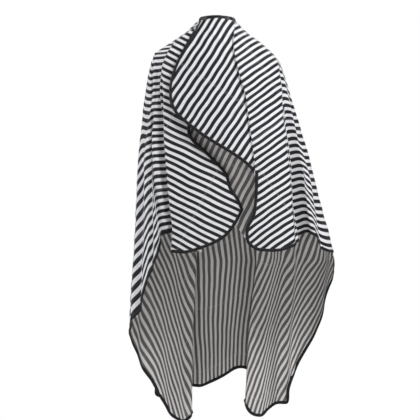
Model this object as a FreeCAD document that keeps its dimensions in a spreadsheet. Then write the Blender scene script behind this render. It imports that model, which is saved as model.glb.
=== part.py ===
"""Barber cape, draped as on a standing wearer, seen from the wearer's back along +Y.

Millimetres, +Z up.  The origin is the centre of the neck opening.  The wearer faces +Y, so the closure,
where the right flap laps over the left one, is on the -Y side, and the long front hangs on the +Y side.
The cloth is one sheet on the real cape; here it is cut into regions, one solid each.
"""
import FreeCAD, Part
import math
import os

from FreeCAD import Placement, Rotation, Vector

doc = FreeCAD.newDocument("BarberCape")

DRIVING = {
    "neck_radius": 52.0,        # inside of the neckband
    "band_height": 14.0,
    "band_ply": 0.8,
    "band_gap": 1.2,            # room between the plies for the snap rings
    "band_tilt": 8.0,           # the back of a neck stands higher than its front
    "overlap_gap": 3.0,         # room under the overlap for stud and socket
    "cloth": 1.5,               # thickness of the cloth solids, with their small folds
    "binding_width": 11.0,
    "binding_proud": 0.6,       # how far the tape stands off each face of the cloth
    "flap_gap": 5.0,            # clear space between the two flaps where they lap
    "shoulder_drop": 95.0,
    "snap_radius": 5.0,
    "snap_pitch": 24.0,         # degrees round the neck from one socket to the next
    "socket_depth": 1.4,
    "socket_play": 0.1,         # room all round the stud in its socket
    "ring_depth": 0.6,
    "ring_radius": 3.5,
    "ring_hole": 1.6,
    "stud_radius": 1.9,
    "stud_length": 2.0,
    "cap_depth": 1.2,
}

sheet = doc.addObject("Spreadsheet::Sheet", "Sizes")
for row, (alias, value) in enumerate(DRIVING.items(), start=1):
    sheet.set(f"A{row}", alias)
    sheet.set(f"B{row}", str(value))
    sheet.setAlias(f"B{row}", alias)
doc.recompute()
size = {alias: float(sheet.get(alias)) for alias in DRIVING}

subparts = []


def keep(thing, label):
    """Label an object as one sub-part."""
    thing.Label = label
    subparts.append(thing)
    return thing


def feature(label, shape):
    """A sub-part whose shape is made by Part's own functions."""
    thing = doc.addObject("Part::Feature", label)
    thing.Shape = shape
    return keep(thing, label)


# ---------------------------------------------------------------- cloth

# Level, reach to the wearer's left (-X), to the right (+X), to the back (-Y) and to the front (+Y).
DRAPE = [
    (-95, 187, 168, 92, 110),
    (-250, 221, 226, 122, 150),
    (-400, 237, 271, 134, 175),
    (-560, 244, 309, 140, 195),
    (-720, 252, 350, 142, 205),
    (-810, 257, 342, 136, 208),
    (-930, 263, 318, 120, 210),
    (-1060, 262, 310, 105, 212),
    (-1200, 260, 305, 95, 214),
]
POINTS_PER_ARC = 7


def drape_point(station, angle, offset):
    """A point of the draped cloth at one level; angle 0 is +X, 90 the front, 270 the back."""
    level, left, right, back, front = station
    turn = math.radians(angle)
    half_width = (left + right) / 2 + offset
    depth = (front if math.sin(turn) > 0 else back) + offset
    centre = (right - left) / 2
    return Vector(centre + half_width * math.cos(turn), depth * math.sin(turn), level)


BAND_SEAM = 1.0         # the cloth solids stop this far outside and below the band
YOKE_SEAM = 0.3         # and the yoke this far above the regions below it


def neck_point(angle, offset):
    """A point of the cloth's top edge, under the tilted neckband."""
    radius = size["neck_radius"] + 2 * size["band_ply"] + size["band_gap"] + BAND_SEAM + offset
    turn = math.radians(angle)
    flat = Vector(radius * math.cos(turn), radius * math.sin(turn), -size["band_height"] / 2 - BAND_SEAM)
    return Rotation(Vector(1, 0, 0), -size["band_tilt"]).multVec(flat)


def arc_edge(points):
    curve = Part.BSplineCurve()
    curve.interpolate(points)
    return curve.toShape()


def strip_wire(outer, inner):
    """A closed thin profile between two rows of points."""
    edges = [arc_edge(outer), Part.makeLine(outer[-1], inner[-1]),
             arc_edge(inner[::-1]), Part.makeLine(inner[0], outer[0])]
    return Part.Wire(edges)


def angles(first, last):
    step = (last - first) / (POINTS_PER_ARC - 1)
    return [first + step * index for index in range(POINTS_PER_ARC)]


def drape_shell(first, last, stations, offset=0.0, proud=0.0):
    """One region of cloth between two angles, lofted down through the levels."""
    wires = []
    for station in stations:
        outer = [drape_point(station, a, offset + size["cloth"] + proud) for a in angles(first, last)]
        inner = [drape_point(station, a, offset - proud) for a in angles(first, last)]
        wires.append(strip_wire(outer, inner))
    return Part.makeLoft(wires, True, True)


def yoke_shell(first, last):
    """The cloth from the neckband out over the shoulders."""
    top = strip_wire([neck_point(a, size["cloth"]) for a in angles(first, last)],
                     [neck_point(a, 0) for a in angles(first, last)])
    shoulder = (-size["shoulder_drop"] + YOKE_SEAM,) + DRAPE[0][1:]
    low = strip_wire([drape_point(shoulder, a, size["cloth"]) for a in angles(first, last)],
                     [drape_point(shoulder, a, 0) for a in angles(first, last)])
    return Part.makeLoft([top, low], True, True)


PRISM_DEPTH = 500.0


def prism(outline, near, far):
    """Everything behind a closed outline in X and Z, from one depth to another."""
    points = [Vector(x, near, z) for x, z in outline]
    wire = Part.makePolygon(points + [points[0]])
    return Part.Face(wire).extrude(Vector(0, far - near, 0))


def inset(outline, amount):
    """The same outline moved inwards by the tape's width."""
    points = [Vector(x, 0, z) for x, z in outline]
    wire = Part.makePolygon(points + [points[0]])
    shrunk = wire.makeOffset2D(-amount, 2)
    if Part.Face(shrunk).Area > Part.Face(wire).Area:
        shrunk = wire.makeOffset2D(amount, 2)
    return Part.Face(shrunk)


def bound_region(label, outline, near, far, shell, thick):
    """Cut a region to its hem, and give the hem its tape."""
    whole = prism(outline, near, far)
    inner = inset(outline, size["binding_width"])
    inner.translate(Vector(0, near, 0))
    inner = inner.extrude(Vector(0, far - near, 0))
    feature(label, shell.common(inner))
    return thick.common(whole).cut(inner)


UPPER = DRAPE[:5]                           # the back regions end above the lower levels
FAR_OUT = 900.0                             # wider than any level of the drape
ABOVE = -size["shoulder_drop"] + 50         # over the tops of the regions

# Where each region starts and ends round the drape, in degrees.
YOKE_BACK, YOKE_FRONT = (180.5, 359.5), (0.5, 179.5)
LEFT_FLAP, RIGHT_FLAP = (180.5, 312), (228, 359.5)
FRONT_REGIONS = [("left_side", 131, 179.5), ("front_panel", 49, 130.7), ("right_side", 0.5, 48.7)]

# Hems as seen from the back.  Points far outside are past the region's own edge.
LEFT_FLAP_HEM = [
    (-FAR_OUT, ABOVE), (-20, ABOVE), (-5, -330), (28, -430), (62, -510), (70, -560), (66, -600),
    (45, -640), (5, -662), (-60, -678), (-125, -692), (-170, -705), (-FAR_OUT, -712),
]
RIGHT_FLAP_HEM = [
    (FAR_OUT, ABOVE), (-116, ABOVE), (-126, -160), (-140, -215), (-138, -248), (-118, -285),
    (-78, -325), (-24, -362), (63, -414), (96, -445), (106, -490), (104, -560), (90, -610), (84, -640),
    (96, -668), (125, -684), (175, -688), (236, -676), (FAR_OUT, -660),
]

feature("cloth_yoke_back", yoke_shell(*YOKE_BACK))
feature("cloth_yoke_front", yoke_shell(*YOKE_FRONT))

left_tape = bound_region("cloth_left_flap", LEFT_FLAP_HEM, -PRISM_DEPTH, 0,
                         drape_shell(*LEFT_FLAP, UPPER),
                         drape_shell(*LEFT_FLAP, UPPER, proud=size["binding_proud"]))
feature("binding_left_flap", left_tape)

right_tape = bound_region("cloth_right_flap", RIGHT_FLAP_HEM, -PRISM_DEPTH, 0,
                          drape_shell(*RIGHT_FLAP, UPPER, offset=size["flap_gap"]),
                          drape_shell(*RIGHT_FLAP, UPPER, offset=size["flap_gap"],
                                      proud=size["binding_proud"]))
feature("binding_right_flap", right_tape)

# The long front, in three regions; its lower edge is a shallow bow with rounded corners.
FRONT_HEM = [
    (-FAR_OUT, 0), (FAR_OUT, 0), (FAR_OUT, -730), (346, -735), (333, -807), (303, -927), (264, -1032),
    (198, -1131), (159, -1170), (135, -1150), (80, -1098), (0, -1088), (-60, -1092), (-83, -1120),
    (-90, -1180), (-110, -1193), (-132, -1171), (-177, -1101), (-203, -1054), (-229, -1015),
    (-252, -985), (-262, -930), (-FAR_OUT, -925),
]
for name, first, last in FRONT_REGIONS:
    tape = bound_region("cloth_" + name, FRONT_HEM, 0, PRISM_DEPTH,
                        drape_shell(first, last, DRAPE),
                        drape_shell(first, last, DRAPE, proud=size["binding_proud"]))
    feature("binding_" + name, tape)

# ---------------------------------------------------------------- neckband

BAND_TURN = Placement(Vector(0, 0, 0), Rotation(Vector(1, 0, 0), -size["band_tilt"]))


def tube(label, inner, outer, start=0, sweep=360):
    """A ply of the band: a tube section round the neck's axis, bound to the sheet."""
    parts = []
    for suffix, radius in (("_outside", outer), ("_inside", inner)):
        cylinder = doc.addObject("Part::Cylinder", label + suffix)
        cylinder.setExpression("Radius", radius)
        cylinder.setExpression("Height", "Sizes.band_height")
        cylinder.Angle = sweep
        parts.append(cylinder)
    ply = doc.addObject("Part::Cut", label)
    ply.Base, ply.Tool = parts
    doc.recompute()
    spin = Rotation(Vector(0, 0, 1), start)
    ply.Placement = BAND_TURN.multiply(Placement(Vector(0, 0, -size["band_height"] / 2), spin))
    return keep(ply, label)


INNER_TOP = "Sizes.neck_radius + Sizes.band_ply"
OUTER_BASE = INNER_TOP + " + Sizes.band_gap"
OUTER_TOP = OUTER_BASE + " + Sizes.band_ply"
LAP_BASE = OUTER_TOP + " + Sizes.overlap_gap"
LAP_TOP = LAP_BASE + " + Sizes.band_ply"

tube("neckband_inner_ply", "Sizes.neck_radius", INNER_TOP)
tube("neckband_outer_ply", OUTER_BASE, OUTER_TOP)
LAP_START, LAP_SWEEP = 210, 72
tube("neckband_lap", LAP_BASE, LAP_TOP, LAP_START, LAP_SWEEP)

# ---------------------------------------------------------------- snaps

FIRST_SNAP_ANGLE = 234.0
ply = size["band_ply"]
inner_top = size["neck_radius"] + ply
outer_base = inner_top + size["band_gap"]
outer_top = outer_base + ply
lap_base = outer_top + size["overlap_gap"]
lap_top = lap_base + ply
CLEAR = 0.15        # the snaps stay this far off a curved ply


def snap_piece(label, angle, start, length, radius, hole=None):
    """A round snap part whose axis is radial to the neck; its sizes are read from the sheet."""
    disc = doc.addObject("Part::Cylinder", label + "_body" if hole else label)
    disc.setExpression("Radius", radius)
    disc.setExpression("Height", length)
    piece = disc
    if hole:
        bore = doc.addObject("Part::Cylinder", label + "_hole")
        bore.setExpression("Radius", hole)
        bore.setExpression("Height", length)
        piece = doc.addObject("Part::Cut", label)
        piece.Base, piece.Tool = disc, bore
    doc.recompute()
    radial = Rotation(Vector(0, 0, 1), angle).multiply(Rotation(Vector(0, 1, 0), 90))
    turn = math.radians(angle)
    seat = Vector(start * math.cos(turn), start * math.sin(turn), 0)
    piece.Placement = BAND_TURN.multiply(Placement(seat, radial))
    return keep(piece, label)


SOCKET_COUNT, STUD_COUNT = 5, 2
STUD_STANDS_OFF = 0.3       # from the outer ply behind it
for index in range(SOCKET_COUNT):
    steps = index if index < STUD_COUNT else index + 1      # the end of the overlap takes one pitch
    place = FIRST_SNAP_ANGLE + size["snap_pitch"] * steps
    snap_piece(f"snap_socket_{index + 1}", place, outer_top + CLEAR, "Sizes.socket_depth",
               "Sizes.snap_radius", "Sizes.stud_radius + Sizes.socket_play")
    snap_piece(f"snap_ring_{index + 1}", place, inner_top + CLEAR, "Sizes.ring_depth",
               "Sizes.ring_radius", "Sizes.ring_hole")
for index in range(STUD_COUNT):
    place = FIRST_SNAP_ANGLE + size["snap_pitch"] * index
    snap_piece(f"snap_stud_{index + 1}", place, outer_top + CLEAR + STUD_STANDS_OFF, "Sizes.stud_length",
               "Sizes.stud_radius")
    snap_piece(f"snap_cap_{index + 1}", place, lap_top + CLEAR, "Sizes.cap_depth", "Sizes.snap_radius")

# ---------------------------------------------------------------- check and write

doc.recompute()
for thing in doc.Objects:
    if {"Invalid", "Error"} & set(thing.State):
        raise RuntimeError(f"{thing.Label} failed: {thing.State}")

os.makedirs("parts", exist_ok=True)
for thing in subparts:
    shape = thing.Shape
    if shape.isNull() or not shape.isValid() or not shape.Solids:
        raise RuntimeError(f"{thing.Label} has no valid solid")
    shape.exportStep(f"parts/{thing.Label}.step")
    box = shape.BoundBox
    print(f"{thing.Label:24s} {len(shape.Solids)} solid {shape.Volume / 1000:9.1f} cm3",
          f"x {box.XMin:.0f}..{box.XMax:.0f} y {box.YMin:.0f}..{box.YMax:.0f} z {box.ZMin:.0f}..{box.ZMax:.0f}")
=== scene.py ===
"""Barber cape: one striped sheet, bound all round, draped and snapped at the back of the neck."""

import math

import bmesh
import bpy
import numpy as np
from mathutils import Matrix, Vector


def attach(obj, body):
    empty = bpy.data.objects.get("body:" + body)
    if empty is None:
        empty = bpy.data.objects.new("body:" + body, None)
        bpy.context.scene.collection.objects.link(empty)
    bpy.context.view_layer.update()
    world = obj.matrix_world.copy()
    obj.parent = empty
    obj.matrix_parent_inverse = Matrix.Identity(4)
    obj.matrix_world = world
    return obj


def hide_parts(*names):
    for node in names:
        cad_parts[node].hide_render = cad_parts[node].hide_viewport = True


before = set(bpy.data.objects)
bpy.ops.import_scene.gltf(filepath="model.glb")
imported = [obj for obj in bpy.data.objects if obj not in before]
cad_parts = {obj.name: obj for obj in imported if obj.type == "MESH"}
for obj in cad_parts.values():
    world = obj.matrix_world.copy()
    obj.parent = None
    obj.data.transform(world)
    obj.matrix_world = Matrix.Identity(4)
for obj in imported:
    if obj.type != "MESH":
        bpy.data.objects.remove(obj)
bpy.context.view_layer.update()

# ------------------------------------------------------------------ sizes, in metres

SHEET_WIDTH = 1.45
SHEET_LENGTH = 1.60
SIDE_HEM = SHEET_WIDTH / 2     # the flat u of the two long hems
NECK_FROM_BACK = 0.33          # centre of the neck hole from the short back edge
HOLE_RADIUS = 0.056
STRIPE_PERIOD = 0.0192
TAPE_WIDTH = 0.0085
TAPE_THICKNESS = 0.0012
NECK_TOP = 0.012               # where a straight line down each panel starts, above the origin
CLOTH_TOP = -0.004             # the cloth's top edge under the band, half way between back and front
BAND_SLOPE = 0.0081            # rise of the band's back over that level, and fall of its front
NECK_BLEND = 0.070             # drop over which panels that lap at the neck come to their full stand-off
AT_NECK = 0.1                  # share of its stand-off that a panel keeps at the neck
NECK_CURVE = 1.5               # how late in that drop the stand-off grows

ROWS = 102                     # mesh points down every panel
ACROSS = 0.0085                # spacing of the mesh's columns
EXTRA_COLUMNS = 10             # more of them, for the length that a hem's curve adds
CLOTH_THICKNESS = 0.0006
FOLD_RADIUS = 0.003
FOLD_STEPS = 4
TUCK_GROWTH = 0.8              # how soon down a fold the cloth tucked under it reaches its full depth
SMALL = 1e-9                   # keeps a division by a length safe

# Level, reach to -X, to +X, to the back and to the front of the cloth on its wearer.
DRAPE = np.array([
    (0.000, 0.0605, 0.0600, 0.0615, 0.0605),
    (-0.030, 0.088, 0.082, 0.080, 0.078),
    (-0.060, 0.132, 0.128, 0.092, 0.098),
    (-0.095, 0.187, 0.168, 0.100, 0.112),
    (-0.125, 0.198, 0.189, 0.106, 0.120),
    (-0.166, 0.208, 0.203, 0.112, 0.128),
    (-0.250, 0.221, 0.226, 0.122, 0.146),
    (-0.400, 0.237, 0.271, 0.134, 0.172),
    (-0.560, 0.244, 0.309, 0.140, 0.194),
    (-0.720, 0.252, 0.350, 0.142, 0.205),
    (-0.810, 0.257, 0.342, 0.136, 0.208),
    (-0.930, 0.263, 0.330, 0.120, 0.210),
    (-1.200, 0.266, 0.320, 0.100, 0.214),
])


def reach(level):
    """Centre, half width, back depth and front depth of the drape at each level."""
    left, right, back, front = (np.interp(-level, -DRAPE[:, 0], DRAPE[:, k]) for k in range(1, 5))
    return (right - left) / 2, (left + right) / 2, back, front


def on_drape(turn, level, out):
    """Points on the drape from an angle (0 is +X, 90 degrees the front), a level and a stand-off."""
    centre, half, back, front = reach(level)
    depth = np.where(np.sin(turn) > 0, front, back)
    x = centre + (half + out) * np.cos(turn)
    y = (depth + out) * np.sin(turn)
    return np.stack([x, y, level], axis=-1)


def turn_of(x, level, side, out=0.0):
    """The drape angle whose point has this x; side is -1 at the back and 1 at the front."""
    centre, half, _, _ = reach(level)
    return side * np.arccos(np.clip((x - centre) / (half + out), -1, 1))


# ------------------------------------------------------------------ curves and patches

def curve_through(points, along, wanted):
    """A smooth curve through points at known lengths along it, read at the wanted lengths."""
    if len(points) > 2:
        slope = np.gradient(points, along, axis=0)
    else:
        slope = np.repeat((points[1:] - points[:1]) / along[-1], 2, axis=0)
    k = np.clip(np.searchsorted(along, wanted, side="right") - 1, 0, len(points) - 2)
    span = (along[k + 1] - along[k])[:, None]
    t = (wanted - along[k])[:, None] / span
    return ((2 * t**3 - 3 * t**2 + 1) * points[k] + (t**3 - 2 * t**2 + t) * span * slope[k]
            + (-2 * t**3 + 3 * t**2) * points[k + 1] + (t**3 - t**2) * span * slope[k + 1])


def smooth(points, count):
    """Evenly spaced points on a smooth curve through a list of points."""
    points = np.asarray(points, dtype=float)
    steps = np.linalg.norm(np.diff(points, axis=0), axis=1) + SMALL
    along = np.concatenate([[0], np.cumsum(steps)])
    return curve_through(points, along, np.linspace(0, along[-1], count))


def coons(left, right, top, bottom):
    """Fills four edge curves; left and right run down, top and bottom run across."""
    rows, across = len(left), len(top)
    s = np.linspace(0, 1, across)[:, None, None]
    t = np.linspace(0, 1, rows)[None, :, None]
    ruled = (1 - s) * left[None] + s * right[None] + (1 - t) * top[:, None] + t * bottom[:, None]
    corners = ((1 - s) * (1 - t) * left[0] + s * (1 - t) * right[0]
               + (1 - s) * t * left[-1] + s * t * right[-1])
    return ruled - corners


def back_patch(left, right, bottom, top_bow, out, slant, lean=0.0):
    """A panel of the back, from edge curves in X and Z.  slant is the direction across the stripes.

    lean is how fast the panel sinks inwards from its left edge.
    """
    across = int(np.linalg.norm(np.subtract(bottom[-1], bottom[0])) / ACROSS) + EXTRA_COLUMNS
    left, right = smooth(left, ROWS), smooth(right, ROWS)
    top = smooth([left[0], (left[0] + right[0]) / 2 + (0, top_bow), right[0]], across)
    flat = coons(left, right, top, smooth(bottom, across))
    x, level = flat[..., 0], flat[..., 1]
    return panel_from(x, level, out - lean * (x - x[:1]), slant)


def panel_from(x, level, out, slant):
    """Points on the back and their flat coordinates, from X, level and stand-off."""
    close = AT_NECK + (1 - AT_NECK) * np.clip((NECK_TOP - level) / NECK_BLEND, 0, 1) ** NECK_CURVE
    rest = on_drape(turn_of(x, np.minimum(level, -0.001), -1), level, out * close)
    points = np.stack([x, rest[..., 1], level], axis=-1)
    drop = NECK_TOP - level
    u = slant[0] * x + slant[1] * drop
    v = NECK_FROM_BACK + slant[1] * x - slant[0] * drop
    return points, np.stack([u, v], axis=-1)


def tuck(edge, reach_under, out, deeper, slant):
    """Cloth that folds under an edge and runs on behind it, towards +X."""
    edge = smooth(edge, ROWS)
    growth = np.linspace(0, 1, ROWS) ** TUCK_GROWTH
    count = int(reach_under / ACROSS)
    # The shift of each column from the edge, its stand-off, and how the shift grows down the edge.
    columns = [(-FOLD_RADIUS * math.sin(a), out - FOLD_RADIUS * (1 - math.cos(a)), 1)
               for a in np.linspace(0, math.pi, FOLD_STEPS + 1)[:-1]]
    columns += [(reach_under * k / count, out - 2 * FOLD_RADIUS - deeper * k / count, growth)
                for k in range(count + 1)]
    made = [panel_from(edge[:, 0] + shift * grow, edge[:, 1], stand, slant) for shift, stand, grow in columns]
    points, flat = zip(*reversed(made))
    return np.array(points), np.array(flat)


PANELS = {}
TURNED_OVER = ("pleat_inner",)

# The lap: the right flap's slit edge, its crease, its hem.
LAP_EDGE = [(-0.051, 0.000), (-0.093, -0.075), (-0.126, -0.141), (-0.141, -0.195), (-0.139, -0.249)]
CREASE = [(0.054, -0.001), (0.049, -0.081), (0.066, -0.166), (0.083, -0.225), (0.094, -0.303),
          (0.106, -0.387), (0.113, -0.462)]
LAP_HEM = [(-0.139, -0.249), (-0.123, -0.279), (-0.078, -0.321), (-0.024, -0.360), (0.021, -0.387),
           (0.063, -0.414), (0.096, -0.441), (0.113, -0.462)]
LAP_SLANT = (0.839, 0.545)
LAP_OUT = 0.010
PANELS["lap"] = back_patch(LAP_EDGE, CREASE, LAP_HEM, 0.006, LAP_OUT, LAP_SLANT)

# Cloth hidden in the pleat: on past the crease, then back under the right panel's edge.
PLEAT_DEPTH = 0.11
PLEAT_SINKS = 0.002
PANELS["pleat_under"] = tuck(CREASE, PLEAT_DEPTH, LAP_OUT + 2 * FOLD_RADIUS, PLEAT_SINKS, LAP_SLANT)

# The right back panel, from the crease to the ridge below the shoulder.
RIGHT_EDGE = CREASE + [(0.112, -0.498), (0.110, -0.534), (0.101, -0.588), (0.087, -0.612), (0.083, -0.636)]
RIDGE = [(0.056, -0.002), (0.108, -0.048), (0.160, -0.088), (0.180, -0.112), (0.189, -0.166),
         (0.198, -0.297), (0.212, -0.426), (0.222, -0.513), (0.237, -0.668)]
RIGHT_HEM = [(0.083, -0.636), (0.088, -0.661), (0.110, -0.680), (0.150, -0.687), (0.192, -0.685),
             (0.237, -0.668)]
RIGHT_SLANT = (0.639, 0.895)
RIGHT_OUT = 0.017
PANELS["right"] = back_patch(RIGHT_EDGE, RIDGE, RIGHT_HEM, 0.0, RIGHT_OUT, RIGHT_SLANT)
RIGHT_FOLD_ROWS = 0.70         # above this share of its length the right edge is a fold, below it a hem

# The part of the pleat that shows its inner face below the lap.
INNER_EDGE = [(-0.100, -0.262), (-0.100, -0.340), (-0.060, -0.400), (-0.020, -0.450), (0.010, -0.500),
              (0.030, -0.550), (0.055, -0.605), (0.084, -0.650)]
INNER_BACK = [(0.200, -0.262), (0.200, -0.450), (0.200, -0.640)]
INNER_HEM = [(0.084, -0.650), (0.110, -0.662), (0.150, -0.660), (0.200, -0.640)]
INNER_SLANT = (0.90, 0.45)
INNER_OUT = -0.052
INNER_LEAN = -0.20
PANELS["pleat_inner"] = back_patch(INNER_EDGE, INNER_BACK, INNER_HEM, 0.0, INNER_OUT, INNER_SLANT, INNER_LEAN)

# The left flap, from the fold under the left arm to its free edge.
LEFT_FOLD = [(-0.052, -0.012), (-0.120, -0.060), (-0.155, -0.120), (-0.162, -0.312), (-0.153, -0.387),
             (-0.144, -0.480), (-0.135, -0.570), (-0.129, -0.630), (-0.135, -0.690)]
LEFT_EDGE = [(0.020, 0.004), (-0.020, -0.120), (-0.060, -0.250), (-0.078, -0.342), (-0.030, -0.393),
             (0.000, -0.423), (0.030, -0.459), (0.042, -0.498), (0.063, -0.531), (0.078, -0.564)]
LEFT_HEM = [(-0.135, -0.690), (-0.096, -0.693), (-0.051, -0.681), (-0.012, -0.666), (0.027, -0.642),
            (0.057, -0.603), (0.078, -0.564)]
LEFT_SLANT = (-0.477, 0.936)
LEFT_OUT = 0.002
LEFT_LEAN = 0.20
PANELS["left"] = back_patch(LEFT_FOLD, LEFT_EDGE, LEFT_HEM, 0.010, LEFT_OUT, LEFT_SLANT, LEFT_LEAN)
LEFT_TUCK = 0.09
LEFT_TUCK_GAP = 0.006          # how far the tucked cloth stays behind the leaning flap
PANELS["left_under"] = tuck(LEFT_FOLD, LEFT_TUCK, LEFT_OUT, LEFT_TUCK * LEFT_LEAN + LEFT_TUCK_GAP, LEFT_SLANT)

# The columns of cloth from the ridge, round the front, to the fold under the left arm.
# Neck angle in degrees, hem x, hem level, side (-1 back, 1 front), stand-off at the hem, flat u, flat v.
# Between the first and last columns of the straight front hem, flat u is None and follows from the hem's length.
COLUMNS = [
    (-24, 0.237, -0.668, -1, 0.017, SIDE_HEM, 0.16),
    (-14, 0.247, -0.640, -1, -0.050, SIDE_HEM, 0.19),
    (-8, 0.262, -0.632, -1, -0.030, SIDE_HEM, 0.22),
    (0, 0.288, -0.639, -1, 0.006, SIDE_HEM, 0.26),
    (7, 0.306, -0.664, -1, -0.006, SIDE_HEM, 0.30),
    (11, 0.324, -0.684, -1, 0.004, SIDE_HEM, 0.33),
    (15, 0.344, -0.700, 1, 0.000, SIDE_HEM, 0.36),
    (24, 0.348, -0.745, 1, 0.000, SIDE_HEM, 0.42),
    (31, 0.340, -0.800, 1, 0.000, SIDE_HEM, 0.50),
    (38, 0.324, -0.870, 1, 0.000, SIDE_HEM, 0.62),
    (45, 0.279, -0.985, 1, 0.000, SIDE_HEM, 0.78),
    (51, 0.240, -1.063, 1, -0.016, SIDE_HEM, 0.97),
    (57, 0.222, -1.112, 1, -0.030, SIDE_HEM, 1.18),
    (60, 0.213, -1.156, 1, -0.034, 0.70, 1.48),
    (63, 0.186, -1.158, 1, -0.038, 0.665, SHEET_LENGTH),
    (65, 0.160, -1.176, 1, -0.034, None, SHEET_LENGTH),
    (67, 0.136, -1.198, 1, -0.046, None, SHEET_LENGTH),
    (69, 0.108, -1.192, 1, -0.062, None, SHEET_LENGTH),
    (71, 0.086, -1.158, 1, -0.068, None, SHEET_LENGTH),
    (73, 0.108, -1.134, 1, -0.046, None, SHEET_LENGTH),
    (75, 0.200, -1.106, 1, -0.014, None, SHEET_LENGTH),
    (77, 0.210, -1.096, 1, -0.004, None, SHEET_LENGTH),
    (79, 0.130, -1.072, 1, 0.000, None, SHEET_LENGTH),
    (82, 0.068, -1.054, 1, 0.004, None, SHEET_LENGTH),
    (87, 0.024, -1.078, 1, 0.000, None, SHEET_LENGTH),
    (93, -0.015, -1.098, 1, 0.004, None, SHEET_LENGTH),
    (98, -0.051, -1.111, 1, 0.000, None, SHEET_LENGTH),
    (101, -0.090, -1.107, 1, 0.002, None, SHEET_LENGTH),
    (103, -0.185, -1.114, 1, -0.002, None, SHEET_LENGTH),
    (105, -0.190, -1.124, 1, -0.010, None, SHEET_LENGTH),
    (107, -0.096, -1.164, 1, -0.046, None, SHEET_LENGTH),
    (109, -0.076, -1.194, 1, -0.072, -0.585, SHEET_LENGTH),
    (112, -0.100, -1.214, 1, -0.066, -0.625, 1.57),
    (116, -0.132, -1.200, 1, -0.050, -0.67, 1.50),
    (122, -0.166, -1.150, 1, -0.034, -0.715, 1.38),
    (131, -0.210, -1.075, 1, -0.014, -SIDE_HEM, 1.22),
    (140, -0.246, -1.000, 1, 0.000, -SIDE_HEM, 1.05),
    (150, -0.262, -0.935, 1, 0.000, -SIDE_HEM, 0.88),
    (160, -0.246, -0.888, -1, 0.000, -SIDE_HEM, 0.75),
    (167, -0.226, -0.837, -1, 0.002, -SIDE_HEM, 0.62),
    (173, -0.210, -0.785, -1, 0.004, -SIDE_HEM, 0.50),
    (179, -0.188, -0.725, -1, 0.012, -SIDE_HEM, 0.38),
    (184, -0.168, -0.672, -1, 0.012, -SIDE_HEM, 0.29),
    (186, -0.166, -0.640, -1, -0.004, -SIDE_HEM, 0.22),
    (190, -0.152, -0.634, -1, 0.004, -SIDE_HEM, 0.18),
    (194, -0.136, -0.632, -1, -0.016, -SIDE_HEM, 0.14),
    (200, -0.108, -0.628, -1, -0.034, -SIDE_HEM, 0.09),
    (206, -0.060, -0.622, -1, -0.050, -SIDE_HEM, 0.05),
]
SHOULDER = -0.110              # level where every column has left the shoulders and begins to hang
SHOULDER_RUN = 0.17            # length of cloth from the neck to that level
TURN_CURVE = 0.75              # how soon down a column it reaches its angle at the hem
STAND_CURVE = 1.3              # how late down a column it reaches its stand-off at the hem
# How fast the flat length is used up down the columns: neck angles, and the power of the share at each.
LEFT_EASE = (122, 140, 150, 173, 186), (1.0, 0.85, 0.72, 0.80, 1.0)


def even_front_widths():
    """Flat u of every column, spread evenly by length along the folded front hem."""
    x, level, side, out, flat_u, flat_v = np.array(COLUMNS, dtype=float).T[1:]
    spots = on_drape(turn_of(x, level, side, out), level, out)
    front = np.flatnonzero(flat_v == SHEET_LENGTH)
    steps = np.linalg.norm(np.diff(spots[front], axis=0), axis=1)
    along = np.concatenate([[0], np.cumsum(steps)])
    widths = flat_u.copy()
    widths[front] = np.interp(along, [0, along[-1]], flat_u[front[[0, -1]]])
    return widths


def column_points():
    """Every column from neck to hem as drape angle, level, stand-off and flat coordinates."""
    share = np.linspace(0, 1, ROWS)
    made = []
    for (neck, x, level, side, out, _, flat_v), flat_u in zip(COLUMNS, even_front_widths()):
        end = float(turn_of(np.array(x), np.array(level), side, out))
        if side < 0 and flat_u < 0:
            end += 2 * math.pi
        start = math.radians(neck)
        top = CLOTH_TOP - BAND_SLOPE * math.sin(start)
        levels = np.array([top, SHOULDER, level])
        length = np.array([0, SHOULDER_RUN, SHOULDER_RUN + SHOULDER - level])
        drop = np.interp(share * length[-1], length, levels)
        hang = np.clip((top - drop) / (top - level), 0, 1)
        turn = start + (end - start) * hang ** TURN_CURVE
        polar = math.atan2(flat_u, flat_v - NECK_FROM_BACK)
        hole = HOLE_RADIUS * np.array([math.sin(polar), math.cos(polar)]) + (0, NECK_FROM_BACK)
        eased = share[:, None] ** np.interp(neck, *LEFT_EASE)
        flat = hole * (1 - eased) + np.array([flat_u, flat_v]) * eased
        made.append(np.stack([turn, drop, out * hang ** STAND_CURVE, flat[:, 0], flat[:, 1]], axis=-1))
    return np.array(made)


def around_patch():
    """The cloth from the ridge round the front to the left arm's fold."""
    key = column_points()
    spots = on_drape(key[:, -1, 0], key[:, -1, 1], key[:, -1, 2])
    gaps = np.linalg.norm(np.diff(spots, axis=0), axis=1)
    across = int(gaps.sum() / ACROSS)
    place = np.concatenate([[0], np.cumsum(gaps)]) / gaps.sum()
    grid = curve_through(key.reshape(len(key), -1), place, np.linspace(0, 1, across))
    grid = grid.reshape(across, ROWS, -1)
    points = on_drape(grid[..., 0], grid[..., 1], grid[..., 2])
    return points, grid[..., 3:]


PANELS["around"] = around_patch()


# ------------------------------------------------------------------ mesh helpers

def new_object(name, verts, faces):
    """A smooth-shaded mesh object in the scene."""
    mesh = bpy.data.meshes.new(name)
    mesh.from_pydata([tuple(v) for v in verts], [], faces)
    mesh.update()
    mesh.shade_smooth()
    thing = bpy.data.objects.new(name, mesh)
    bpy.context.scene.collection.objects.link(thing)
    return thing


def fix_normals(thing):
    """Turns a closed mesh's faces outwards."""
    shape = bmesh.new()
    shape.from_mesh(thing.data)
    bmesh.ops.recalc_face_normals(shape, faces=shape.faces)
    shape.to_mesh(thing.data)
    shape.free()


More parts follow.
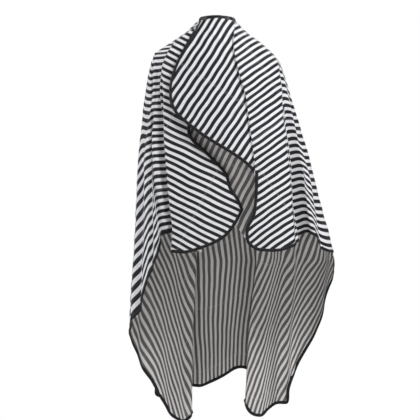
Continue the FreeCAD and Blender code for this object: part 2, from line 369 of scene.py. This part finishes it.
def grid_faces(columns, rows, first, flip):
    """Quads of a grid of points that starts at a point number, turned over if flip is set."""
    faces = []
    for i in range(columns - 1):
        for j in range(rows - 1):
            a = first + i * rows + j
            quad = (a, a + 1, a + rows + 1, a + rows)
            faces.append(quad[::-1] if flip else quad)
    return faces


BODY_MIDDLE = 0.02             # roughly the x of the drape's middle
BODY_DEPTH_STRETCH = 1.6       # the drape is wider than deep, so its outward direction leans to front and back
# Waves round the body: their number in a full turn, phase and share.
PLEATS = ((23, 1.3, 0.5), (37, 0.4, 0.3))
GATHERS = ((41, 0.7, 1.0), (67, 0.0, 0.5))
PLEAT_FRONT, PLEAT_BACK, PLEAT_SIDE = 0.0050, 0.0012, 0.010
SIDE_SPREAD, SIDE_START = 0.20, 0.75    # the back's pleats grow from START to START + 1 spreads off the middle
PLEAT_DROP = 0.5               # drop over which the pleats, drift and wrinkles come to full size
GATHER_SIZE, GATHER_LEVEL, GATHER_SPREAD = 0.0013, -0.045, 0.035
DRIFT_SIZE, WRINKLE_SIZE = 0.0018, 0.0007


def waves(turn, table):
    """Sum of a table's waves at each angle."""
    return sum(share * np.sin(turn * count + phase) for count, phase, share in table)


def ripple(points):
    """Small soft folds that run down from the neck, and slight unevenness, as outward shifts.

    Drift and wrinkles are made-up waves whose numbers only have to differ enough not to line up.
    """
    x, level = points[..., 0], points[..., 2]
    turn = np.arctan2(points[..., 1], x)
    fall = np.clip(-level / PLEAT_DROP, 0, 1)
    aside = np.clip(np.abs(x - BODY_MIDDLE) / SIDE_SPREAD - SIDE_START, 0, 1)
    size = np.where(points[..., 1] > 0, PLEAT_FRONT, PLEAT_BACK + PLEAT_SIDE * aside)
    drift = (np.sin(level * 9 + turn * 3) + np.sin(level * 17 - turn * 5)) * 0.5
    wrinkles = (np.sin(x * 61 + level * 33) * np.sin(level * 47 - x * 29)
                + 0.6 * np.sin(x * 113 - level * 71 + 2.0))
    gathers = waves(turn, GATHERS) * np.exp(-((level - GATHER_LEVEL) / GATHER_SPREAD) ** 2)
    return (GATHER_SIZE * gathers + size * waves(turn, PLEATS) * fall
            + (DRIFT_SIZE * drift + WRINKLE_SIZE * wrinkles) * fall)


# Deep folds that hang from the shoulders at the back: x and level of three points each, depth, half width.
VALLEYS = [
    ((-0.174, -0.203, -0.196), (-0.10, -0.34, -0.66), 0.010, 0.0060),
    ((-0.168, -0.165, -0.153), (-0.13, -0.40, -0.66), 0.012, 0.0050),
    ((-0.190, -0.226, -0.236), (-0.13, -0.40, -0.85), 0.008, 0.0060),
    ((0.204, 0.226, 0.240), (-0.20, -0.42, -0.66), 0.009, 0.0070),
    ((0.216, 0.264, 0.286), (-0.18, -0.42, -0.66), 0.010, 0.0070),
    ((0.232, 0.294, 0.322), (-0.24, -0.48, -0.70), 0.010, 0.0080),
]
VALLEY_FADE = 0.10


def valley(points):
    """Inward shifts of the deep folds; each fades in from its top."""
    x, level = points[..., 0], points[..., 2]
    shift = np.zeros(x.shape)
    for middle, levels, depth, wide in VALLEYS:
        centre = np.interp(-level, -np.array(levels), middle)
        fade = np.clip((levels[0] - level) / VALLEY_FADE, 0, 1)
        shift -= depth * fade * np.exp(-((x - centre) / wide) ** 2)
    return np.where(points[..., 1] < 0, shift, 0.0)


# Waves of the wobble: per metre of x and of level, phase, size in metres.
WOBBLES = ((19, 13, 0.6, 0.0015), (47, -31, 0.0, 0.0008), (61, 83, 1.9, 0.0005))


def wobble(points):
    """Small unevenness of the stripes where the cloth puckers, as a shift of flat u."""
    x, level = points[..., 0], points[..., 2]
    return sum(size * np.sin(by_x * x + by_level * level + phase) for by_x, by_level, phase, size in WOBBLES)


def outward(points):
    """Level direction away from the body at each point."""
    direction = points * (1, BODY_DEPTH_STRETCH, 0) - (BODY_MIDDLE, 0, 0)
    return direction / np.maximum(np.linalg.norm(direction, axis=-1, keepdims=True), 1e-6)


for panel_name, (panel_points, panel_flat) in PANELS.items():
    shift = (ripple(panel_points) + valley(panel_points))[..., None] * outward(panel_points)
    panel_flat[..., 0] += wobble(panel_points)
    PANELS[panel_name] = (panel_points + shift, panel_flat)


def build_cloth():
    """Every patch in one mesh, with its flat coordinates in the attribute cut."""
    verts, faces, flats = [], [], []
    for name, (points, flat) in PANELS.items():
        columns, rows = points.shape[:2]
        faces += grid_faces(columns, rows, len(verts), flip=name in TURNED_OVER)
        verts += points.reshape(-1, 3).tolist()
        flats += flat.reshape(-1, 2).tolist()
    cloth = new_object("cape_cloth", verts, faces)
    layer = cloth.data.attributes.new("cut", "FLOAT_VECTOR", "POINT")
    flat3 = np.concatenate([np.array(flats), np.zeros((len(flats), 1))], axis=1)
    layer.data.foreach_set("vector", flat3.astype(np.float32).ravel())
    return cloth


TAPE_BEND = 0.0004             # where the tape's two halves meet its fold, in from the cloth's edge
TAPE_OVERHANG = 0.0007         # how far the fold stands off that edge
TAPE_BULGE = 1.15


def edge_axes(edge, inside):
    """Directions into the cloth and through it, at each point of an edge."""
    step = np.gradient(edge, axis=0)
    step /= np.linalg.norm(step, axis=1, keepdims=True) + SMALL
    into = inside - edge
    into -= (into * step).sum(axis=1, keepdims=True) * step
    into /= np.linalg.norm(into, axis=1, keepdims=True) + SMALL
    return into, np.cross(step, into)


def edge_strip(name, edge, inside):
    """Tape folded over an edge.  edge holds the edge's points, inside the next points into the cloth."""
    into, face = edge_axes(edge, inside)
    half = TAPE_THICKNESS / 2 + CLOTH_THICKNESS
    upper = [(TAPE_WIDTH, half), (TAPE_WIDTH / 2, half * TAPE_BULGE), (TAPE_BEND, half)]
    outline = upper + [(-TAPE_OVERHANG, 0)] + [(w, -h) for w, h in reversed(upper)]
    count = len(outline)
    verts = [edge + into * w + face * h for w, h in outline]
    verts = np.stack(verts, axis=1).reshape(-1, 3)
    faces = []
    for i in range(len(edge) - 1):
        for k in range(count):
            a, b = i * count + k, i * count + (k + 1) % count
            faces.append((a, b, b + count, a + count))
    faces.append(tuple(range(count))[::-1])
    faces.append(tuple(range(len(verts) - count, len(verts))))
    strip = new_object(name, verts, faces)
    fix_normals(strip)
    return strip


STITCH_LENGTH, STITCH_PITCH, STITCH_WIDTH = 0.0022, 0.0032, 0.0005
STITCH_INSET = 0.0014          # from the tape's inner edge


def stitch_tree(thread):
    """Stitches along a line of edges: size, pitch and width are inputs."""
    tree = bpy.data.node_groups.new("tape_stitches", "GeometryNodeTree")
    tree.interface.new_socket("Geometry", in_out="INPUT", socket_type="NodeSocketGeometry")
    for label, value in (("Pitch", STITCH_PITCH), ("Stitch length", STITCH_LENGTH), ("Thread width", STITCH_WIDTH)):
        socket = tree.interface.new_socket(label, in_out="INPUT", socket_type="NodeSocketFloat")
        socket.default_value = value
    tree.interface.new_socket("Geometry", in_out="OUTPUT", socket_type="NodeSocketGeometry")
    start, end = tree.nodes.new("NodeGroupInput"), tree.nodes.new("NodeGroupOutput")
    curve = tree.nodes.new("GeometryNodeMeshToCurve")
    resample = tree.nodes.new("GeometryNodeResampleCurve")
    resample.mode = "LENGTH"
    tangent = tree.nodes.new("GeometryNodeInputTangent")
    align = tree.nodes.new("FunctionNodeAlignRotationToVector")
    align.axis = "X"
    size = tree.nodes.new("ShaderNodeCombineXYZ")
    stitch = tree.nodes.new("GeometryNodeMeshCube")
    place = tree.nodes.new("GeometryNodeInstanceOnPoints")
    real = tree.nodes.new("GeometryNodeRealizeInstances")
    paint = tree.nodes.new("GeometryNodeSetMaterial")
    paint.inputs["Material"].default_value = thread
    for source, target in (
            (start.outputs["Geometry"], curve.inputs[0]), (curve.outputs[0], resample.inputs["Curve"]),
            (start.outputs["Pitch"], resample.inputs["Length"]), (tangent.outputs[0], align.inputs["Vector"]),
            (start.outputs["Stitch length"], size.inputs["X"]), (start.outputs["Thread width"], size.inputs["Y"]),
            (start.outputs["Thread width"], size.inputs["Z"]), (size.outputs[0], stitch.inputs["Size"]),
            (resample.outputs[0], place.inputs["Points"]), (stitch.outputs["Mesh"], place.inputs["Instance"]),
            (align.outputs[0], place.inputs["Rotation"]), (place.outputs[0], real.inputs[0]),
            (real.outputs[0], paint.inputs["Geometry"]), (paint.outputs[0], end.inputs[0])):
        tree.links.new(source, target)
    return tree


def stitch_line(edge, inside):
    """The row of stitches near the tape's inner edge, on the outer face."""
    into, face = edge_axes(edge, inside)
    face *= np.sign((face * outward(edge)).sum(axis=1, keepdims=True))
    return edge + into * (TAPE_WIDTH - STITCH_INSET) + face * (TAPE_THICKNESS / 2 + CLOTH_THICKNESS)


def make_stitches(lines, thread):
    """Stitches along every line, as one plain mesh."""
    verts, edges = [], []
    for line in lines:
        first = len(verts)
        verts += line.tolist()
        edges += [(first + k, first + k + 1) for k in range(len(line) - 1)]
    mesh = bpy.data.meshes.new("stitch_path")
    mesh.from_pydata(verts, edges, [])
    path = bpy.data.objects.new("stitch_path", mesh)
    bpy.context.scene.collection.objects.link(path)
    modifier = path.modifiers.new("stitches", "NODES")
    modifier.node_group = stitch_tree(thread)
    seen = path.evaluated_get(bpy.context.evaluated_depsgraph_get())
    made = bpy.data.meshes.new_from_object(seen)
    bpy.data.objects.remove(path)
    stitches = bpy.data.objects.new("tape_stitches", made)
    bpy.context.scene.collection.objects.link(stitches)
    return stitches


def hem_of(name):
    """A panel's bottom row of points, and the row two above it."""
    points = PANELS[name][0]
    return points[:, -1], points[:, -3]


def side_of(name, last, first_share=0.0):
    """One side column of a panel from a share of its length down, and the column inside it."""
    points = PANELS[name][0]
    start = int(first_share * ROWS)
    edge, inside = (points[-1], points[-3]) if last else (points[0], points[2])
    return edge[start:], inside[start:]


def joined(*runs):
    """Runs of edge and inside points, one after the other."""
    return [np.concatenate(parts) for parts in zip(*runs)]


def turned(run):
    """A run in the other direction."""
    return run[0][::-1], run[1][::-1]


BINDINGS = {
    "binding_lap": joined(side_of("lap", False), hem_of("lap")),
    "binding_right": joined(side_of("right", False, RIGHT_FOLD_ROWS), hem_of("right")),
    "binding_side": hem_of("around"),
    "binding_left": joined(hem_of("left"), turned(side_of("left", True))),
    "binding_pleat": hem_of("pleat_inner"),
}


# ------------------------------------------------------------------ materials

def value_math(tree, operation, first, second=None):
    """Output of a math node on numbers or sockets."""
    node = tree.nodes.new("ShaderNodeMath")
    node.operation = operation
    for socket, value in zip(node.inputs, (first, second)):
        if value is None:
            continue
        if isinstance(value, (int, float)):
            socket.default_value = value
        else:
            tree.links.new(value, socket)
    return node.outputs[0]


def mix_colour(tree, factor, first, second):
    """Output of a colour mix between two colours or sockets."""
    node = tree.nodes.new("ShaderNodeMix")
    node.data_type = "RGBA"
    tree.links.new(factor, node.inputs["Factor"])
    for socket, value in (("A", first), ("B", second)):
        if isinstance(value, tuple):
            node.inputs[socket].default_value = (*value, 1)
        else:
            tree.links.new(value, node.inputs[socket])
    return node.outputs["Result"]


THREADS_PER_METRE = 900
CREASE_SPACING, CREASE_WIDTH = 0.20, 0.0045
CREASE_ACROSS = 0.05           # shift of the creases that run across the stripes
PRINT_SHIFT = 10               # keeps flat coordinates positive where a pattern repeats
INK_EDGE = 0.250, 0.280        # soft edge of a stripe, as shares of the period from its middle


def plain_weave_group():
    """Fine over-and-under weave: height, and a mask of thread shade, from flat coordinates."""
    tree = bpy.data.node_groups.new("plain_weave", "ShaderNodeTree")
    tree.interface.new_socket("Cut", in_out="INPUT", socket_type="NodeSocketVector")
    threads = tree.interface.new_socket("Threads per metre", in_out="INPUT", socket_type="NodeSocketFloat")
    threads.default_value = THREADS_PER_METRE
    tree.interface.new_socket("Height", in_out="OUTPUT", socket_type="NodeSocketFloat")
    tree.interface.new_socket("Shade", in_out="OUTPUT", socket_type="NodeSocketFloat")
    start, end = tree.nodes.new("NodeGroupInput"), tree.nodes.new("NodeGroupOutput")
    split = tree.nodes.new("ShaderNodeSeparateXYZ")
    tree.links.new(start.outputs["Cut"], split.inputs[0])
    across = value_math(tree, "MULTIPLY", split.outputs["X"], start.outputs["Threads per metre"])
    along = value_math(tree, "MULTIPLY", split.outputs["Y"], start.outputs["Threads per metre"])
    wave = value_math(tree, "MULTIPLY", value_math(tree, "SINE", value_math(tree, "MULTIPLY", across, math.pi)),
                      value_math(tree, "SINE", value_math(tree, "MULTIPLY", along, math.pi)))
    tree.links.new(wave, end.inputs["Height"])
    noise = tree.nodes.new("ShaderNodeTexNoise")
    noise.inputs["Scale"].default_value = 60
    noise.inputs["Detail"].default_value = 4
    tree.links.new(start.outputs["Cut"], noise.inputs["Vector"])
    tree.links.new(noise.outputs["Fac"], end.inputs["Shade"])
    return tree


def packing_crease_group():
    """Sharp lines left by folding the cape flat for its packet: a mask, from flat coordinates."""
    tree = bpy.data.node_groups.new("packing_creases", "ShaderNodeTree")
    tree.interface.new_socket("Cut", in_out="INPUT", socket_type="NodeSocketVector")
    spacing = tree.interface.new_socket("Spacing", in_out="INPUT", socket_type="NodeSocketFloat")
    spacing.default_value = CREASE_SPACING
    width = tree.interface.new_socket("Width", in_out="INPUT", socket_type="NodeSocketFloat")
    width.default_value = CREASE_WIDTH
    tree.interface.new_socket("Mask", in_out="OUTPUT", socket_type="NodeSocketFloat")
    start, end = tree.nodes.new("NodeGroupInput"), tree.nodes.new("NodeGroupOutput")
    split = tree.nodes.new("ShaderNodeSeparateXYZ")
    tree.links.new(start.outputs["Cut"], split.inputs[0])
    masks = []
    for axis, offset in (("X", 0.0), ("Y", CREASE_ACROSS)):
        moved = value_math(tree, "ADD", split.outputs[axis], PRINT_SHIFT + offset)
        wrapped = value_math(tree, "PINGPONG", moved, value_math(tree, "MULTIPLY", start.outputs["Spacing"], 0.5))
        ratio = value_math(tree, "DIVIDE", wrapped, start.outputs["Width"])
        line = value_math(tree, "SUBTRACT", 1.0, ratio)
        masks.append(value_math(tree, "MAXIMUM", line, 0.0))
    tree.links.new(value_math(tree, "MAXIMUM", *masks), end.inputs["Mask"])
    return tree


WEAVE = plain_weave_group()
CREASES = packing_crease_group()

CREASE_WEAR, THREAD_SHADE = 0.12, 0.18
THREAD_SHADOW = (0.02, 0.02, 0.025)
WEAVE_RELIEF = 0.15            # height of the weave beside that of a crease


def striped_material(name, dark, light, crease_tint):
    """Printed stripes along the cut's length, with weave, slight unevenness and packing creases."""
    material = bpy.data.materials.new(name)
    material.use_nodes = True
    tree = material.node_tree
    shader = tree.nodes["Principled BSDF"]
    shader.inputs["Roughness"].default_value = 0.62
    shader.inputs["Specular IOR Level"].default_value = 0.25
    shader.inputs["Sheen Weight"].default_value = 0.03
    shader.inputs["Sheen Roughness"].default_value = 0.4
    cut = tree.nodes.new("ShaderNodeAttribute")
    cut.attribute_name = "cut"
    split = tree.nodes.new("ShaderNodeSeparateXYZ")
    tree.links.new(cut.outputs["Vector"], split.inputs[0])
    shifted = value_math(tree, "ADD", split.outputs["X"], PRINT_SHIFT)
    phase = value_math(tree, "FRACT", value_math(tree, "MULTIPLY", shifted, 1 / STRIPE_PERIOD))
    away = value_math(tree, "ABSOLUTE", value_math(tree, "SUBTRACT", phase, 0.5))
    soft = tree.nodes.new("ShaderNodeMapRange")
    soft.inputs["From Min"].default_value, soft.inputs["From Max"].default_value = INK_EDGE
    tree.links.new(away, soft.inputs["Value"])
    weave = tree.nodes.new("ShaderNodeGroup")
    weave.node_tree = WEAVE
    tree.links.new(cut.outputs["Vector"], weave.inputs["Cut"])
    crease = tree.nodes.new("ShaderNodeGroup")
    crease.node_tree = CREASES
    tree.links.new(cut.outputs["Vector"], crease.inputs["Cut"])
    colour = mix_colour(tree, soft.outputs["Result"], dark, light)
    worn = value_math(tree, "MULTIPLY", crease.outputs["Mask"], CREASE_WEAR)
    colour = mix_colour(tree, worn, colour, crease_tint)
    shade = value_math(tree, "MULTIPLY", weave.outputs["Shade"], THREAD_SHADE)
    colour = mix_colour(tree, shade, colour, THREAD_SHADOW)
    tree.links.new(colour, shader.inputs["Base Color"])
    height = value_math(tree, "ADD", value_math(tree, "MULTIPLY", weave.outputs["Height"], WEAVE_RELIEF),
                        crease.outputs["Mask"])
    bump = tree.nodes.new("ShaderNodeBump")
    bump.inputs["Strength"].default_value = 0.5
    bump.inputs["Distance"].default_value = 0.0008
    tree.links.new(height, bump.inputs["Height"])
    tree.links.new(bump.outputs["Normal"], shader.inputs["Normal"])
    return material


def woven_black(name, tone, threads, rough):
    """Black tape or band cloth: ribs and flecks from object coordinates."""
    material = bpy.data.materials.new(name)
    material.use_nodes = True
    tree = material.node_tree
    shader = tree.nodes["Principled BSDF"]
    shader.inputs["Roughness"].default_value = rough
    shader.inputs["Sheen Weight"].default_value = 0.03
    shader.inputs["Specular IOR Level"].default_value = 0.2
    where = tree.nodes.new("ShaderNodeTexCoord")
    noise = tree.nodes.new("ShaderNodeTexNoise")
    noise.inputs["Scale"].default_value = threads
    noise.inputs["Detail"].default_value = 3
    tree.links.new(where.outputs["Object"], noise.inputs["Vector"])
    light = tuple(c * 2.6 for c in tone)
    tree.links.new(mix_colour(tree, noise.outputs["Fac"], tone, light), shader.inputs["Base Color"])
    bump = tree.nodes.new("ShaderNodeBump")
    bump.inputs["Strength"].default_value = 0.4
    bump.inputs["Distance"].default_value = 0.0004
    tree.links.new(noise.outputs["Fac"], bump.inputs["Height"])
    tree.links.new(bump.outputs["Normal"], shader.inputs["Normal"])
    return material


def plain_material(name, colour, rough):
    """One colour and roughness."""
    material = bpy.data.materials.new(name)
    material.use_nodes = True
    shader = material.node_tree.nodes["Principled BSDF"]
    shader.inputs["Base Color"].default_value = (*colour, 1)
    shader.inputs["Roughness"].default_value = rough
    return material


# Each face of the cloth: its dark stripe, its light stripe and the tint of a worn crease.
CLOTH_FACES = {"printed_face": ((0.010, 0.010, 0.013), (0.80, 0.80, 0.83), (0.55, 0.55, 0.57)),
               "reverse_face": ((0.125, 0.118, 0.114), (0.72, 0.70, 0.69), (0.70, 0.69, 0.68))}
cloth = build_cloth()
for face_name, colours in CLOTH_FACES.items():
    cloth.data.materials.append(striped_material(face_name, *colours))
wall = cloth.modifiers.new("thickness", "SOLIDIFY")
wall.thickness, wall.offset = CLOTH_THICKNESS, -1
wall.material_offset = wall.material_offset_rim = 1
tape_cloth = woven_black("black_tape", (0.006, 0.006, 0.007), 900, 0.6)
TAPES_REPLACED = {
    "binding_lap": ["binding_right_flap"],
    "binding_left": ["binding_left_flap"],
    "binding_side": ["binding_left_side", "binding_front_panel", "binding_right_side"],
}
bindings = []
for tape_name, (edge, inside) in BINDINGS.items():
    strip = edge_strip(tape_name, edge, inside)
    strip.data.materials.append(tape_cloth)
    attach(strip, "root")
    bindings.append(strip)
thread = plain_material("black_thread", (0.035, 0.035, 0.037), 0.45)
stitches = make_stitches([stitch_line(*run) for run in BINDINGS.values()], thread)
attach(stitches, "root")
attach(cloth, "root")
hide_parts(*[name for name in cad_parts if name.startswith("cloth_")])
for strip in bindings:
    if strip.name in TAPES_REPLACED:
        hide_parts(*TAPES_REPLACED[strip.name])

band_cloth = woven_black("band_cloth", (0.008, 0.008, 0.009), 1400, 0.5)
snap_steel = plain_material("plated_steel", (0.62, 0.62, 0.64), 0.25)
snap_steel.node_tree.nodes["Principled BSDF"].inputs["Metallic"].default_value = 1.0
FITTING_FINISH = {"snap_cap": plain_material("black_snap_cap", (0.012, 0.012, 0.012), 0.3),
                  "snap_stud": snap_steel, "snap_socket": snap_steel, "snap_ring": snap_steel}
for name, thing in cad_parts.items():
    if not name.startswith(("cloth_", "binding_")):
        for slot in thing.material_slots:
            slot.material = FITTING_FINISH.get(name.rsplit("_", 1)[0], band_cloth)


# ------------------------------------------------------------------ floor, light and camera

FLOOR_LEVEL = -1.26
FLOOR_REACH = 6.0
SKY_STRENGTH = 0.22
# Each lamp's place, power in watts and width; all point at the target.
LAMPS = {"key": ((1.6, -1.7, 2.0), 98, 0.8), "fill": ((-3.0, 0.1, 0.6), 52, 1.0),
         "low": ((-0.4, -3.2, -1.0), 12, 1.5), "rear": ((0.5, 2.8, 1.2), 40, 2.0)}
LAMP_TARGET = (0, 0, -0.5)
CAMERA_DISTANCE = 7.0
CAMERA_ASIDE, CAMERA_LEVEL = -0.021, -0.565
FRAME_SIDE = 1.26              # what the camera takes in at the cape's distance
SENSOR_MM = 36


def build_stage():
    """Floor and sky that the camera sees as white, and four area lamps."""
    corners = ((-1, -1), (1, -1), (1, 1), (-1, 1))
    verts = [(x * FLOOR_REACH, y * FLOOR_REACH, FLOOR_LEVEL) for x, y in corners]
    floor = new_object("floor", verts, [(0, 1, 2, 3)])
    pale = plain_material("pale_floor", (0.95, 0.95, 0.95), 1.0)
    tree = pale.node_tree
    shader = tree.nodes["Principled BSDF"]
    bright = tree.nodes.new("ShaderNodeEmission")
    path = tree.nodes.new("ShaderNodeLightPath")
    choose = tree.nodes.new("ShaderNodeMixShader")
    tree.links.new(path.outputs["Is Camera Ray"], choose.inputs["Fac"])
    tree.links.new(shader.outputs[0], choose.inputs[1])
    tree.links.new(bright.outputs[0], choose.inputs[2])
    tree.links.new(choose.outputs[0], tree.nodes["Material Output"].inputs["Surface"])
    floor.data.materials.append(pale)
    world = bpy.data.worlds.new("studio")
    world.use_nodes = True
    tree = world.node_tree
    lit = tree.nodes["Background"]
    lit.inputs["Color"].default_value = (1, 1, 1, 1)
    lit.inputs["Strength"].default_value = SKY_STRENGTH
    seen = tree.nodes.new("ShaderNodeBackground")
    seen.inputs["Color"].default_value = (1, 1, 1, 1)
    path = tree.nodes.new("ShaderNodeLightPath")
    choose = tree.nodes.new("ShaderNodeMixShader")
    tree.links.new(path.outputs["Is Camera Ray"], choose.inputs["Fac"])
    tree.links.new(lit.outputs[0], choose.inputs[1])
    tree.links.new(seen.outputs[0], choose.inputs[2])
    tree.links.new(choose.outputs[0], tree.nodes["World Output"].inputs["Surface"])
    bpy.context.scene.world = world
    for name, (place, power, wide) in LAMPS.items():
        light = bpy.data.lights.new(name, "AREA")
        light.energy, light.size = power, wide
        lamp = bpy.data.objects.new(name, light)
        lamp.location = place
        lamp.rotation_euler = (Vector(LAMP_TARGET) - Vector(place)).to_track_quat("-Z", "Y").to_euler()
        bpy.context.scene.collection.objects.link(lamp)


def build_camera():
    """Level camera behind the wearer, a little above the middle of the cape."""
    data = bpy.data.cameras.new("camera")
    data.sensor_width = SENSOR_MM
    data.lens = SENSOR_MM * CAMERA_DISTANCE / FRAME_SIDE
    camera = bpy.data.objects.new("camera", data)
    camera.location = (CAMERA_ASIDE, -CAMERA_DISTANCE, CAMERA_LEVEL)
    camera.rotation_euler = (math.radians(90), 0, 0)
    bpy.context.scene.collection.objects.link(camera)
    bpy.context.scene.camera = camera


build_stage()
build_camera()
bpy.context.scene.view_settings.view_transform = "Standard"
